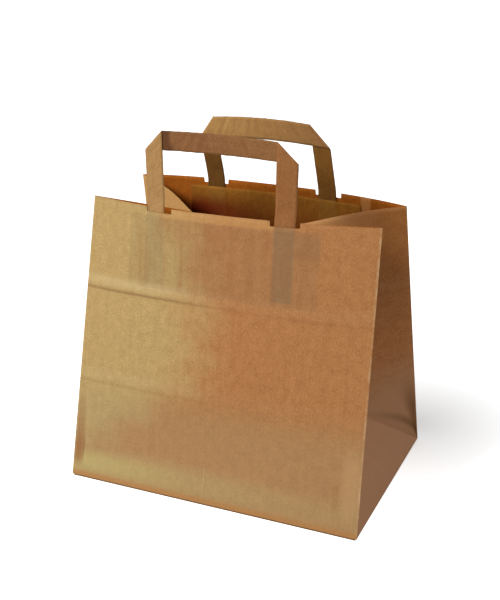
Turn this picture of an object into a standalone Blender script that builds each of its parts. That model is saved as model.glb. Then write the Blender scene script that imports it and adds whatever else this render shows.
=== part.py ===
"""A paper carrier bag with a block bottom, side gussets and two flat folded paper handles.

The bag stands open and empty on its bottom, at the origin, with +Z up and the front facing -Y.
One sheet of kraft paper makes the body: a front and a back panel, a gusset on each side that folds
inwards above a triangle, and a bottom of overlapping flaps. Each handle is a folded strip, glued
inside its panel under a reinforcing patch.
"""

import math

import bmesh
import bpy
from mathutils import Vector

MM = 0.001

# The flat sheet.
BAG_WIDTH = 280 * MM
GUSSET_WIDTH = 180 * MM
PANEL_HEIGHT = 255.7 * MM
WALL = 0.4 * MM

# How far each corner of the mouth leans in from above its corner of the bottom, and how much longer
# or shorter the skew cut leaves the left folds.
FRONT_LEFT_LEAN = 79.6 * MM
FRONT_RIGHT_LEAN = 63.8 * MM
BACK_LEFT_LEAN = 24.2 * MM
BACK_RIGHT_LEAN = 56.5 * MM
BACK_LEFT_PULL = 5.4 * MM
FRONT_LEFT_RISE = 4.7 * MM
BACK_LEFT_RISE = -4.4 * MM

# The panels bow outwards towards the mouth, and keep the creases of the bag that was packed flat: the
# lower one bent both panels to the back, and the upper one both to the front.
FRONT_BOW = 16 * MM
BACK_BOW = 18.5 * MM
BOW_SQUARENESS = 2.4
BOW_RISE = 2
LOWER_CREASE_HEIGHT = 93 * MM
LOWER_CREASE_DEPTH = 1.1 * MM
UPPER_CREASE_HEIGHT = 178 * MM
UPPER_CREASE_RISE = 0.9 * MM
CREASE_REACH = 14 * MM
CREASE_SQUARENESS = 4

# The bottom's flaps, folded flat under the bag.
FLAP_THICKNESS = 0.4 * MM
FLAP_OVERLAP = 24 * MM
FLAP_INSET = 1 * MM

# The handles: each strip's legs, and how deep they go below the mouth.
LEG_WIDTH = 18.5 * MM
LEG_DEPTH = 68 * MM
STRIP_THICKNESS = 0.8 * MM
TILT_REACH = 12 * MM
HANDLE_ARCH = 3.6 * MM

# The two handles are folded and glued a little unevenly: shift is how far a handle's middle stands to
# the right at the mouth, sway how much further its bar does, and drop how far its right shoulder lies
# below its middle.
FRONT_HANDLE_WIDTH = 143.6 * MM
FRONT_BAR_WIDTH = 16 * MM
FRONT_HANDLE_RISE = 65.1 * MM
FRONT_HANDLE_SHIFT = -3.4 * MM
FRONT_HANDLE_SWAY = 5.8 * MM
FRONT_HANDLE_DROP = 1.8 * MM
FRONT_HANDLE_TILT = math.radians(-4.5)
BACK_HANDLE_WIDTH = 138 * MM
BACK_BAR_WIDTH = 18.5 * MM
BACK_HANDLE_RISE = 58.4 * MM
BACK_HANDLE_SHIFT = -1 * MM
BACK_HANDLE_SWAY = -6.1 * MM
BACK_HANDLE_DROP = 0.4 * MM
BACK_HANDLE_TILT = math.radians(-5.5)

# The notches that free the handles' legs at the mouth.
NOTCH_SPACING = 120.8 * MM
NOTCH_SHIFT = -1 * MM
NOTCH_WIDTH = 26.5 * MM
NOTCH_DEPTH = 4.5 * MM

# The patches over the legs.
PATCH_WIDTH = 183 * MM
PATCH_HEIGHT = 64 * MM
PATCH_DROP = 8 * MM
FRONT_PATCH_SHIFT = -1 * MM
BACK_PATCH_SHIFT = 2 * MM
PATCH_THICKNESS = 0.3 * MM
PATCH_RAMP = 3 * MM

# Glued layers lie this far apart.
GAP = 0.3 * MM

# How finely the paper is divided, and the angle past which an edge is a fold.
ROW_STEP = 13 * MM
COLUMN_STEP = 20 * MM
TILT_STEP = 4 * MM
CLOSEST_ROWS = 0.5 * MM
SLOPE_STEP = 0.5 * MM
WELD = 0.01 * MM
FOLD_ANGLE = math.radians(25)

# How far Boolean pieces pass each other.
UNION_OVERLAP = 0.1 * MM
CUTTER_REACH = 4 * WALL

SHEET_FLOOR = 2 * FLAP_THICKNESS + WALL
GUSSET_HALF = GUSSET_WIDTH / 2
THIRDS = (1 / 3, 2 / 3)


def material(name, colour, roughness):
    made = bpy.data.materials.new(name)
    made.use_nodes = True
    shader = made.node_tree.nodes["Principled BSDF"]
    shader.inputs["Base Color"].default_value = (*colour, 1)
    shader.inputs["Roughness"].default_value = roughness
    shader.inputs["Metallic"].default_value = 0
    return made


def collection(name, hidden=False):
    made = bpy.data.collections.new(name)
    made.hide_render = hidden
    bpy.context.scene.collection.children.link(made)
    return made


def add_object(name, mesh, home, skin=None):
    obj = bpy.data.objects.new(name, mesh)
    if skin:
        mesh.materials.append(skin)
    home.objects.link(obj)
    return obj


def mesh_from(bm, name):
    mesh = bpy.data.meshes.new(name)
    bm.to_mesh(mesh)
    bm.free()
    return mesh


def steps(start, end, step):
    """Even places from start to end, about step apart."""
    count = max(1, round((end - start) / step))
    return [start + (end - start) * i / count for i in range(count + 1)]


def merged(places):
    """The places in order, with any that nearly coincide made one."""
    kept = []
    for place in sorted(places):
        if not kept or place - kept[-1] > CLOSEST_ROWS:
            kept.append(place)
    return kept


class Panel:
    """The front or the back panel's inner face: its fold lines at both sides, its bow and its creases."""

    def __init__(self, outward, bow, left_lean, right_lean, left_pull, left_rise):
        self.outward = outward
        self.bow = bow
        y = outward * GUSSET_HALF
        self.left_foot = Vector((-BAG_WIDTH / 2, y, SHEET_FLOOR))
        self.right_foot = Vector((BAG_WIDTH / 2, y, SHEET_FLOOR))
        left_length = PANEL_HEIGHT + left_rise
        self.left_top = self.top(self.left_foot, left_pull, left_lean, left_length)
        self.right_top = self.top(self.right_foot, 0, right_lean, PANEL_HEIGHT)

    def top(self, foot, pull, lean, length):
        """The end of a fold of this length that leans in over the bottom."""
        rise = math.sqrt(length**2 - pull**2 - lean**2)
        return foot + Vector((pull, -self.outward * lean, rise))

    def left(self, height):
        return self.left_foot.lerp(self.left_top, height / PANEL_HEIGHT)

    def right(self, height):
        return self.right_foot.lerp(self.right_top, height / PANEL_HEIGHT)

    def point(self, across, height):
        """A point of the inner face, from its place on the flat panel."""
        share = across / BAG_WIDTH + 0.5
        side = min(1, abs(2 * across / BAG_WIDTH))
        bow = self.bow * (1 - side**BOW_SQUARENESS) * (height / PANEL_HEIGHT) ** BOW_RISE
        lower = max(0, 1 - abs(height - LOWER_CREASE_HEIGHT) / CREASE_REACH)
        upper = max(0, 1 - abs(height - UPPER_CREASE_HEIGHT) / CREASE_REACH)
        crease = LOWER_CREASE_DEPTH * lower - UPPER_CREASE_RISE * upper
        place = self.left(height).lerp(self.right(height), share)
        place.y += self.outward * bow + crease * (1 - side**CREASE_SQUARENESS)
        return place

    def along(self, across, height):
        """The direction across the panel there."""
        ahead, behind = self.point(across + SLOPE_STEP, height), self.point(across - SLOPE_STEP, height)
        return (ahead - behind).normalized()

    def inside(self, across, height, depth):
        """A point this deep inside the panel's inner face."""
        up = self.point(across, height + SLOPE_STEP) - self.point(across, height - SLOPE_STEP)
        inward = self.along(across, height).cross(up).normalized() * self.outward
        return self.point(across, height) + inward * depth


FRONT = Panel(-1, FRONT_BOW, FRONT_LEFT_LEAN, FRONT_RIGHT_LEAN, 0, FRONT_LEFT_RISE)
BACK = Panel(1, BACK_BOW, BACK_LEFT_LEAN, BACK_RIGHT_LEAN, BACK_LEFT_PULL, BACK_LEFT_RISE)


def meet(first, first_reach, second, second_reach, third, third_reach, towards):
    """The point at three given distances from three points, on the side of the given direction."""
    ex = (second - first).normalized()
    offset = third - first
    along = ex.dot(offset)
    ey = (offset - ex * along).normalized()
    ez = ex.cross(ey)
    span = (second - first).length
    across = ey.dot(offset)
    x = (first_reach**2 - second_reach**2 + span**2) / (2 * span)
    y = (first_reach**2 - third_reach**2 + offset.length_squared - 2 * along * x) / (2 * across)
    z = math.sqrt(max(0, first_reach**2 - x**2 - y**2))
    if ez.dot(towards) < 0:
        ez.negate()
    return first + ex * x + ey * y + ez * z


class Gusset:
    """One side: a triangle that leans in from the bottom's edge, and above it two halves folded in."""

    def __init__(self, front_fold, back_fold, inward):
        self.front = front_fold
        self.back = back_fold
        middle = (front_fold(0) + back_fold(0)) / 2
        front = front_fold(GUSSET_HALF) - middle
        back = back_fold(GUSSET_HALF) - middle
        rise = (front.length_squared + back.length_squared) / 2 / (front.z + back.z)
        reach = math.sqrt(max(0, GUSSET_HALF**2 - rise**2))
        self.middle = middle
        self.apex = middle + Vector((inward * reach, 0, rise))
        self.tip = meet(
            front_fold(PANEL_HEIGHT), GUSSET_HALF,
            back_fold(PANEL_HEIGHT), GUSSET_HALF,
            self.apex, PANEL_HEIGHT - GUSSET_HALF,
            Vector((inward, 0, 0)),
        )

    def section(self, height):
        """The side's points at one height of the sheet, between the front fold and the back fold."""
        if height < GUSSET_HALF:
            share = height / GUSSET_HALF
            folds = [
                self.front(0).lerp(self.apex, share),
                self.middle.lerp(self.apex, share),
                self.back(0).lerp(self.apex, share),
            ]
        else:
            share = (height - GUSSET_HALF) / (PANEL_HEIGHT - GUSSET_HALF)
            folds = [self.apex.lerp(self.tip, share)] * 3
        front, back = self.front(height), self.back(height)
        return (
            [front.lerp(folds[0], share) for share in THIRDS]
            + folds
            + [back.lerp(folds[2], share) for share in reversed(THIRDS)]
        )


LEFT = Gusset(FRONT.left, BACK.left, 1)
RIGHT = Gusset(FRONT.right, BACK.right, -1)


def panel_rows():
    """Heights on the sheet that every piece on a panel bends at."""
    marks = [0, GUSSET_HALF, PANEL_HEIGHT]
    for crease in (LOWER_CREASE_HEIGHT, UPPER_CREASE_HEIGHT):
        marks += [crease - CREASE_REACH, crease, crease + CREASE_REACH]
    marks = merged(marks)
    rows = [0]
    for start, end in zip(marks, marks[1:]):
        rows += steps(start, end, ROW_STEP)[1:]
    return rows


def panel_columns():
    return steps(-BAG_WIDTH / 2, BAG_WIDTH / 2, COLUMN_STEP)


def body_sheet():
    """The sheet's inner face as an open loft, with the bottom closed and the mouth open."""
    bm = bmesh.new()
    columns = panel_columns()
    loops = []
    for height in panel_rows():
        front = [FRONT.point(across, height) for across in columns]
        back = [BACK.point(across, height) for across in reversed(columns)]
        left = list(reversed(LEFT.section(height)))
        loops.append([bm.verts.new(p) for p in front + RIGHT.section(height) + back + left])
    for low, high in zip(loops, loops[1:]):
        for i in range(len(low)):
            j = (i + 1) % len(low)
            bm.faces.new((low[i], low[j], high[j], high[i]))
    base = loops[0]
    count = len(columns)
    side = len(RIGHT.section(0))
    front = base[:count]
    back = base[count + side : 2 * count + side][::-1]
    for i in range(1, count - 2):
        bm.faces.new((front[i + 1], front[i], back[i], back[i + 1]))
    bm.faces.new([front[1], front[0]] + base[2 * count + side :][::-1] + [back[0], back[1]])
    bm.faces.new([front[-1], front[-2], back[-2], back[-1]] + base[count : count + side][::-1])
    bmesh.ops.remove_doubles(bm, verts=bm.verts, dist=WELD)
    bmesh.ops.dissolve_degenerate(bm, edges=bm.edges, dist=WELD)
    return mesh_from(bm, "bag_body")


def prism(name, outline, low, high):
    """A flat piece of the given outline, between two depths, before it is bent onto its panel."""
    bm = bmesh.new()
    face = bm.faces.new([bm.verts.new((x, y, low)) for x, y in outline])
    raised = bmesh.ops.extrude_face_region(bm, geom=[face, *face.edges], use_keep_orig=True)
    for item in raised["geom"]:
        if isinstance(item, bmesh.types.BMVert):
            item.co.z = high
    bm.normal_update()
    bmesh.ops.recalc_face_normals(bm, faces=bm.faces)
    return mesh_from(bm, name)


def boolean(obj, operation, other):
    modifier = obj.modifiers.new(f"{operation.lower()} {other.name}", "BOOLEAN")
    modifier.operation = operation
    modifier.object = other


def applied(obj, helpers):
    """The object's evaluated mesh, with the object and its helpers removed."""
    graph = bpy.context.evaluated_depsgraph_get()
    mesh = bpy.data.meshes.new_from_object(obj.evaluated_get(graph))
    for used in [obj, *helpers]:
        bpy.data.objects.remove(used)
    return mesh


def cut_across(bm, axis, places):
    """Divides a flat piece so that it can bend at these places."""
    normal = Vector((0, 0, 0))
    normal[axis] = 1
    for place in places:
        bmesh.ops.bisect_plane(
            bm,
            geom=bm.verts[:] + bm.edges[:] + bm.faces[:],
            dist=WELD,
            plane_co=normal * place,
            plane_no=normal,
        )


def bend(mesh, place_of, columns, rows):
    """Divides the flat mesh and moves each point from (across, height, depth) to its place on the bag."""
    bm = bmesh.new()
    bm.from_mesh(mesh)
    cut_across(bm, 0, columns)
    cut_across(bm, 1, rows)
    for vert in bm.verts:
        vert.co = place_of(*vert.co)
    bm.normal_update()
    bmesh.ops.recalc_face_normals(bm, faces=bm.faces)
    bm.to_mesh(mesh)
    bm.free()
    return mesh


def shade(mesh):
    mesh.shade_smooth()
    mesh.set_sharp_from_angle(angle=FOLD_ANGLE)


def make_notches(panel, home):
    """Cutters that open the mouth's edge round both legs of a handle."""
    cutters = []
    for side in (-1, 1):
        middle = NOTCH_SHIFT + side * NOTCH_SPACING / 2
        left, right = middle - NOTCH_WIDTH / 2, middle + NOTCH_WIDTH / 2
        low, high = PANEL_HEIGHT - NOTCH_DEPTH, PANEL_HEIGHT + CUTTER_REACH
        outline = [(left, low), (right, low), (right, high), (left, high)]
        mesh = prism("notch", outline, -CUTTER_REACH, CUTTER_REACH)
        bend(mesh, panel.inside, [], [])
        cutter = add_object("notch", mesh, home)
        cutter.display_type = "WIRE"
        cutter.hide_render = True
        cutters.append(cutter)
    return cutters


def make_flap(side, low, home):
    """A bottom flap: it is folded in from a long edge, with its ends cut at 45 degrees."""
    foot = GUSSET_HALF - FLAP_INSET
    free = -FLAP_OVERLAP / 2
    half = BAG_WIDTH / 2 - FLAP_INSET
    narrow = half - (foot - free)
    folded, cut = side * foot, side * free
    outline = [(-half, folded), (half, folded), (narrow, cut), (-narrow, cut)]
    flap = add_object("flap", prism("flap", outline, low, SHEET_FLOOR - WALL / 2), home)
    flap.display_type = "WIRE"
    flap.hide_render = True
    return flap


def make_body(home, cutters, skin):
    body = add_object("bag_body", body_sheet(), home, skin)
    solidify = body.modifiers.new("paper", "SOLIDIFY")
    solidify.thickness = WALL
    solidify.offset = 1
    solidify.use_even_offset = True
    for cutter in make_notches(FRONT, cutters) + make_notches(BACK, cutters):
        boolean(body, "DIFFERENCE", cutter)
    boolean(body, "UNION", make_flap(1, FLAP_THICKNESS, cutters))
    boolean(body, "UNION", make_flap(-1, 0, cutters))
    shade(body.data)
    return body


class Handle:
    """The shape of one handle: where its parts lie on the flat strip, and how that bends."""

    def __init__(self, panel, width, bar_width, rise, shift, sway, drop, tilt):
        self.panel = panel
        self.outer = width / 2
        self.inner = self.outer - LEG_WIDTH
        self.leg_middle = self.outer - LEG_WIDTH / 2
        self.rise = rise
        self.top = PANEL_HEIGHT + rise
        self.shoulder = self.top - bar_width
        self.shift = shift
        self.sway = sway
        self.drop = drop
        self.tilt = tilt

    def place(self, across, height, depth):
        """A point of the flat handle on the bag: inside the panel, and leaning by itself above it."""
        above = height - PANEL_HEIGHT
        if above <= 0:
            return self.panel.inside(across + self.shift, height, depth)
        up = above / self.rise
        place_across = across + self.shift + self.sway * up
        above += HANDLE_ARCH * (1 - (across / self.outer) ** 2) * min(1, up)
        above -= self.drop * across / self.outer * up
        rim = self.panel.point(place_across, PANEL_HEIGHT)
        lower = (rim - self.panel.point(place_across, PANEL_HEIGHT - SLOPE_STEP)).normalized()
        upper = Vector((0, math.sin(self.tilt), math.cos(self.tilt)))
        turned = min(above, TILT_REACH)
        share = turned / TILT_REACH
        place = rim + lower * (turned * (1 - share / 2))
        place += upper * (turned * share / 2 + above - turned)
        along = self.panel.along(place_across, PANEL_HEIGHT)
        inward = along.cross(lower.lerp(upper, share)).normalized() * self.panel.outward
        return place + inward * depth


FRONT_HANDLE = Handle(
    FRONT, FRONT_HANDLE_WIDTH, FRONT_BAR_WIDTH, FRONT_HANDLE_RISE,
    FRONT_HANDLE_SHIFT, FRONT_HANDLE_SWAY, FRONT_HANDLE_DROP, FRONT_HANDLE_TILT,
)
BACK_HANDLE = Handle(
    BACK, BACK_HANDLE_WIDTH, BACK_BAR_WIDTH, BACK_HANDLE_RISE,
    BACK_HANDLE_SHIFT, BACK_HANDLE_SWAY, BACK_HANDLE_DROP, BACK_HANDLE_TILT,
)


def make_handle(name, handle, home, skin):
    """Two legs and a bar that double up at the slanting folds, with the bar nearer the bag's inside."""
    outer, inner, top, shoulder = handle.outer, handle.inner, handle.top, handle.shoulder
    foot = PANEL_HEIGHT - LEG_DEPTH
    leg_back = GAP + STRIP_THICKNESS
    legs = []
    for side in (-1, 1):
        outline = [
            (side * outer, foot),
            (side * inner, foot),
            (side * inner, top),
            (side * outer, shoulder),
        ]
        legs.append(add_object("leg", prism("leg", outline, GAP, leg_back), home))
    outline = [(-outer, shoulder), (outer, shoulder), (inner, top), (-inner, top)]
    low = leg_back - UNION_OVERLAP
    bar = add_object(name, prism(name, outline, low, low + STRIP_THICKNESS), home)
    for leg in legs:
        boolean(bar, "UNION", leg)
    mesh = applied(bar, legs)
    rows = [row for row in panel_rows() if foot < row]
    rows += steps(PANEL_HEIGHT, PANEL_HEIGHT + TILT_REACH, TILT_STEP)[1:]
    rows += steps(PANEL_HEIGHT + TILT_REACH, shoulder, ROW_STEP)[1:]
    columns = steps(-inner, inner, ROW_STEP)
    bend(mesh, handle.place, columns, rows)
    shade(mesh)
    return add_object(name, mesh, home, skin)


def make_patch(name, handle, shift, home, skin):
    """A sheet glued to the panel, raised over each of the handle's legs."""
    left, right = shift - PATCH_WIDTH / 2, shift + PATCH_WIDTH / 2
    top = PANEL_HEIGHT - PATCH_DROP
    foot = top - PATCH_HEIGHT
    outline = [(left, foot), (right, foot), (right, top), (left, top)]
    mesh = prism(name, outline, GAP, GAP + PATCH_THICKNESS)
    raised = STRIP_THICKNESS + GAP
    near = LEG_WIDTH / 2 + GAP
    far = near + PATCH_RAMP

    def place_of(across, height, depth):
        off_leg = abs(abs(across - handle.shift) - handle.leg_middle)
        ramp = min(1, max(0, (far - off_leg) / PATCH_RAMP))
        return handle.panel.inside(across, height, depth + raised * ramp)

    columns = steps(left, right, COLUMN_STEP)
    for side in (-1, 1):
        middle = handle.shift + side * handle.leg_middle
        columns += [middle + edge for edge in (-far, -near, near, far)]
    rows = [row for row in panel_rows() if foot < row < top]
    bend(mesh, place_of, columns, rows)
    shade(mesh)
    return add_object(name, mesh, home, skin)


def main():
    for obj in list(bpy.data.objects):
        bpy.data.objects.remove(obj)
    parts = collection("paper_carrier_bag")
    cutters = collection("cutters", hidden=True)
    kraft = material("kraft_paper", (0.45, 0.25, 0.11), 0.85)
    strip = material("kraft_strip", (0.40, 0.23, 0.11), 0.85)
    patch = material("kraft_patch", (0.36, 0.20, 0.09), 0.9)
    make_body(parts, cutters, kraft)
    make_handle("front_handle", FRONT_HANDLE, parts, strip)
    make_handle("back_handle", BACK_HANDLE, parts, strip)
    make_patch("front_patch", FRONT_HANDLE, FRONT_PATCH_SHIFT, parts, patch)
    make_patch("back_patch", BACK_HANDLE, BACK_PATCH_SHIFT, parts, patch)


main()
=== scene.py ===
"""An open paper carrier bag: brown kraft paper, folded and glued, with two folded strip handles."""

import math

import bmesh
import bpy
from mathutils import Matrix, Vector, noise


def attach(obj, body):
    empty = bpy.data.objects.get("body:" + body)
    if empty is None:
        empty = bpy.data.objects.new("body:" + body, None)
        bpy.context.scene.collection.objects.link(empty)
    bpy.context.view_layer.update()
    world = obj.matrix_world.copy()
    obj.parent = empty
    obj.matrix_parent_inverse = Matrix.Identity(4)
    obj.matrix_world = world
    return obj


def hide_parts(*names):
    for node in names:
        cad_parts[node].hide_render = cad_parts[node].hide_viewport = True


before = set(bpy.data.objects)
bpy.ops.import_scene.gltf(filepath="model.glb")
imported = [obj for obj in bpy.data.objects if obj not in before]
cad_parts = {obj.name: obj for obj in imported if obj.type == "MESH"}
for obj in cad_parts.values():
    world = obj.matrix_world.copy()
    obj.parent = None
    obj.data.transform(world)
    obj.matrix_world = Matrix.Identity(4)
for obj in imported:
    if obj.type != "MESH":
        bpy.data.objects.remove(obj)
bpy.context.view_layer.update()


# The body: one sheet of unbleached kraft paper, folded into a front, a back and two gussets and glued
# up. It stands open after lying packed flat, so its panels bow out at the mouth, sag between the folds
# and keep the creases of the pack.
MM = 0.001
BAG_WIDTH = 280 * MM
GUSSET_WIDTH = 180 * MM
PANEL_HEIGHT = 255.7 * MM
BODY_FLOOR = 1 * MM
BODY_PAPER = 0.3 * MM

FRONT_LEANS = (79.6 * MM, 63.8 * MM)
BACK_LEANS = (24.2 * MM, 56.5 * MM)
BACK_LEFT_PULL = 5.4 * MM
FRONT_RIGHT_PULL = -1.6 * MM
PULL_START = 70 * MM
FRONT_LEFT_RISE = 4.7 * MM
BACK_LEFT_RISE = -4.4 * MM
FRONT_BOW = 16 * MM
BACK_BOW = 18.5 * MM
BOW_SQUARENESS = 2.4

LOWER_CREASE = 93 * MM
UPPER_CREASE = 178 * MM
UPPER_RISE = 1.1 * MM
UPPER_SINK = 0.8 * MM
LOWER_RISE = 0.25 * MM
FOOT_SAG = 2.4 * MM
FRONT_SWELL = 1.3 * MM
GLUE_COCKLE = 0.5 * MM
CORNER_TUCK = 1.6 * MM
CORNER_DENT = 0.8 * MM
BACK_CREASE = 0.8 * MM
BACK_SWELL = 1.5 * MM
SWELL_START = 30 * MM

LEG_WIDTH = 18.5 * MM
LEG_DEPTH = 68 * MM
LEG_SPACING = 125.1 * MM
LEG_SHIFT = -3.4 * MM
NOTCH_SPACING = 120.8 * MM
NOTCH_SHIFT = -1 * MM
NOTCH_WIDTH = 26.5 * MM
NOTCH_DEPTH = 4.5 * MM
NOTCH_SLANT = 0.3 * MM
NOTCH_ROWS = 12 * MM

PATCH_WIDTH = 183 * MM
PATCH_HEIGHT = 64 * MM
PATCH_DROP = 8 * MM
PATCH_SHIFTS = (-1 * MM, 2 * MM)

FOLD_ROUND = 1 * MM
BOTTOM_ROUND = 1.5 * MM
BOTTOM_STEPS = 3
BACK_MIDDLE = BAG_WIDTH + GUSSET_WIDTH
BODY_STEP = 4 * MM
FINE_STEP = 1 * MM
FINE_BELOW = 6 * MM
FINE_ABOVE = 8 * MM
GUSSET_PARTS = (14, 8, 8, 14)
HALF_GUSSET = GUSSET_WIDTH / 2
GUSSET_SAG = 1.5 * MM
GUSSET_SWELL = 2.5 * MM
GUSSET_HILLS = 2.2
SLOPE_STEP = 0.5 * MM
WELD = 0.02 * MM
FOLD_ANGLE = math.radians(35)


def smooth(value, start, end):
    """0 at start, 1 at end and an even S between."""
    share = min(1, max(0, (value - start) / (end - start)))
    return share * share * (3 - 2 * share)


def swell(x, y, size, seed):
    """A slow wave over the sheet, from -1 to 1, with hills this far apart."""
    return noise.noise(Vector((x / size, y / size, seed)))


def ridge(height, line, above, below):
    """A crease that stands out at its line, with a slope of its own above and below."""
    away = height - line
    return math.exp(-((away / (above if away > 0 else below)) ** 2))


def front_relief(across, height):
    """How far the front stands out of its plain curve: the pack's creases, strongest on the left, the
    sag above the bottom, slow swells, the patch's cockles, a tuck at the left and a dent at the right."""
    side = min(1, abs(2 * across / BAG_WIDTH))
    left = 1 - smooth(across, -75 * MM, 15 * MM)
    out = UPPER_RISE * (0.08 + 0.92 * left) * ridge(height, UPPER_CREASE, 11 * MM, 3 * MM)
    out -= UPPER_SINK * (0.1 + 0.9 * left) * ridge(height, UPPER_CREASE - 5 * MM, 3 * MM, 9 * MM)
    out += LOWER_RISE * (0.1 + 0.9 * left) * ridge(height, LOWER_CREASE, 12 * MM, 4 * MM)
    out -= FOOT_SAG * math.sin(math.pi * min(1, height / LOWER_CREASE)) ** 1.5
    out += FRONT_SWELL * swell(across, height, 75 * MM, 1.7) * smooth(height, 0, SWELL_START)
    glued = smooth(PATCH_WIDTH / 2 - abs(across), 0, 12 * MM)
    glued *= smooth(height, PANEL_HEIGHT - PATCH_DROP - PATCH_HEIGHT, PANEL_HEIGHT - PATCH_HEIGHT)
    out += GLUE_COCKLE * glued * swell(across * 6, height, 60 * MM, 4.2)
    out *= 1 - side**6
    tuck = ridge(across, -BAG_WIDTH / 2 + 6 * MM, 6 * MM, 3 * MM)
    tuck *= smooth(height, 8 * MM, 22 * MM) * (1 - smooth(height, 60 * MM, 85 * MM))
    dent = math.exp(-(((across - 112 * MM) / (3 * MM)) ** 2) - ((height - 24 * MM) / (14 * MM)) ** 2)
    return out - CORNER_TUCK * tuck - CORNER_DENT * dent


def back_relief(across, height):
    """How far the back stands out of its plain curve: the same two creases and slow swells."""
    side = min(1, abs(2 * across / BAG_WIDTH))
    out = -BACK_CREASE * ridge(height, UPPER_CREASE, 5 * MM, 3 * MM)
    out += BACK_CREASE * ridge(height, LOWER_CREASE, 5 * MM, 3 * MM)
    out += BACK_SWELL * swell(across, height, 80 * MM, 8.3) * smooth(height, 0, SWELL_START)
    return out * (1 - side**6)


class Panel:
    """The front or the back: its folds at both sides, its bow and its relief."""

    def __init__(self, outward, bow, leans, pulls, left_rise, relief):
        self.outward = outward
        self.bow = bow
        self.relief = relief
        self.right_pull = pulls[1]
        self.left_foot = Vector((-BAG_WIDTH / 2, outward * HALF_GUSSET, BODY_FLOOR))
        self.right_foot = Vector((BAG_WIDTH / 2, outward * HALF_GUSSET, BODY_FLOOR))
        left_length = PANEL_HEIGHT + left_rise
        self.left_top = self.top(self.left_foot, pulls[0], leans[0], left_length)
        self.right_top = self.top(self.right_foot, pulls[1], leans[1], PANEL_HEIGHT)

    def top(self, foot, pull, lean, length):
        rise = math.sqrt(length**2 - pull**2 - lean**2)
        return foot + Vector((pull, -self.outward * lean, rise))

    def left(self, height):
        return self.left_foot.lerp(self.left_top, height / PANEL_HEIGHT)

    def right(self, height):
        return self.right_foot.lerp(self.right_top, height / PANEL_HEIGHT)

    def point(self, across, height):
        """A point of the panel. The right corner's pull is felt only near that corner."""
        side = min(1, abs(2 * across / BAG_WIDTH))
        bow = self.bow * (1 - side**BOW_SQUARENESS) * (height / PANEL_HEIGHT) ** 2
        share = across / BAG_WIDTH + 0.5
        place = self.left(height).lerp(self.right(height), share)
        near = smooth(across, PULL_START, BAG_WIDTH / 2)
        place.x += self.right_pull * (near - share) * height / PANEL_HEIGHT
        place.y += self.outward * (bow + self.relief(across, height))
        return place

    def along(self, across, height):
        """The way across the panel at a point."""
        right = self.point(across + SLOPE_STEP, height)
        return (right - self.point(across - SLOPE_STEP, height)).normalized()

    def inside(self, across, height, depth):
        """A point this deep inside the panel."""
        up = self.point(across, height + SLOPE_STEP) - self.point(across, height - SLOPE_STEP)
        inward = self.along(across, height).cross(up).normalized() * self.outward
        return self.point(across, height) + inward * depth


FRONT = Panel(-1, FRONT_BOW, FRONT_LEANS, (0, FRONT_RIGHT_PULL), FRONT_LEFT_RISE, front_relief)
BACK = Panel(1, BACK_BOW, BACK_LEANS, (BACK_LEFT_PULL, 0), BACK_LEFT_RISE, back_relief)


def meet(first, second, reach, third, third_reach, towards):
    """The point at one reach from two points and at another from a third."""
    ex = (second - first).normalized()
    offset = third - first
    shift = ex.dot(offset)
    ey = (offset - ex * shift).normalized()
    ez = ex.cross(ey)
    x = (second - first).length / 2
    y = (reach**2 - third_reach**2 + offset.length_squared - 2 * shift * x) / (2 * ey.dot(offset))
    z = math.sqrt(max(0, reach**2 - x**2 - y**2))
    return first + ex * x + ey * y + ez * (z if ez.dot(towards) > 0 else -z)


class Gusset:
    """A side: a triangle that leans in from the bottom, and above it two halves folded inwards."""

    def __init__(self, front_fold, back_fold, inward, slack, bulge, seed):
        self.front = front_fold
        self.back = back_fold
        self.inward = inward
        self.bulge = bulge
        self.seed = seed
        self.middle = (front_fold(0) + back_fold(0)) / 2
        front = front_fold(HALF_GUSSET) - self.middle
        back = back_fold(HALF_GUSSET) - self.middle
        rise = (front.length_squared + back.length_squared) / 2 / (front.z + back.z)
        reach = math.sqrt(max(0, HALF_GUSSET**2 - rise**2))
        self.apex = self.middle + Vector((inward * reach, 0, rise))
        high_front, high_back = front_fold(PANEL_HEIGHT), back_fold(PANEL_HEIGHT)
        upper = PANEL_HEIGHT - HALF_GUSSET - slack
        towards = Vector((inward, 0, 0))
        self.tip = meet(high_front, high_back, HALF_GUSSET, self.apex, upper, towards)

    def corners(self, height):
        """Where the folds cross this height, from the front fold to the back fold, both counted."""
        if height < HALF_GUSSET:
            share = height / HALF_GUSSET
            starts = (self.front(0), self.middle, self.back(0))
            inner = [start.lerp(self.apex, share) for start in starts]
        else:
            share = (height - HALF_GUSSET) / (PANEL_HEIGHT - HALF_GUSSET)
            inner = [self.apex.lerp(self.tip, share)] * 3
        return [self.front(height), *inner, self.back(height)]

    def section(self, height):
        """Points at this height with rounded folds, the two outer folds left out. The part next to the
        back bulges away from the front at the mouth."""
        corners = self.corners(height)
        points = []
        for i, parts in enumerate(GUSSET_PARTS):
            start, end = corners[i], corners[i + 1]
            length = (end - start).length
            trim = min(FOLD_ROUND, 0.4 * length)
            for k in range(parts + 1):
                share = (trim + (length - 2 * trim) * k / parts) / length if length > trim else 0
                place = start.lerp(end, share)
                sag = math.sin(math.pi * share) * length / HALF_GUSSET * smooth(height, 0, HALF_GUSSET)
                wave = swell(i * 2 + share, height / PANEL_HEIGHT * GUSSET_HILLS, 1, self.seed)
                place.x += self.inward * sag * (GUSSET_SAG + GUSSET_SWELL * wave)
                if i == len(GUSSET_PARTS) - 1:
                    bulge = math.sin(math.pi * share**1.3) * (height / PANEL_HEIGHT) ** 3
                    place.y += self.bulge * bulge
                points.append(place)
        return points


LEFT = Gusset(FRONT.left, BACK.left, 1, 4.5 * MM, 5 * MM, 3.1)
RIGHT = Gusset(FRONT.right, BACK.right, -1, 0, 7 * MM, 5.9)


def spread(start, end, step):
    """Even places from start to end, about step apart."""
    count = max(1, round((end - start) / step))
    return [start + (end - start) * i / count for i in range(count + 1)]


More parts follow.
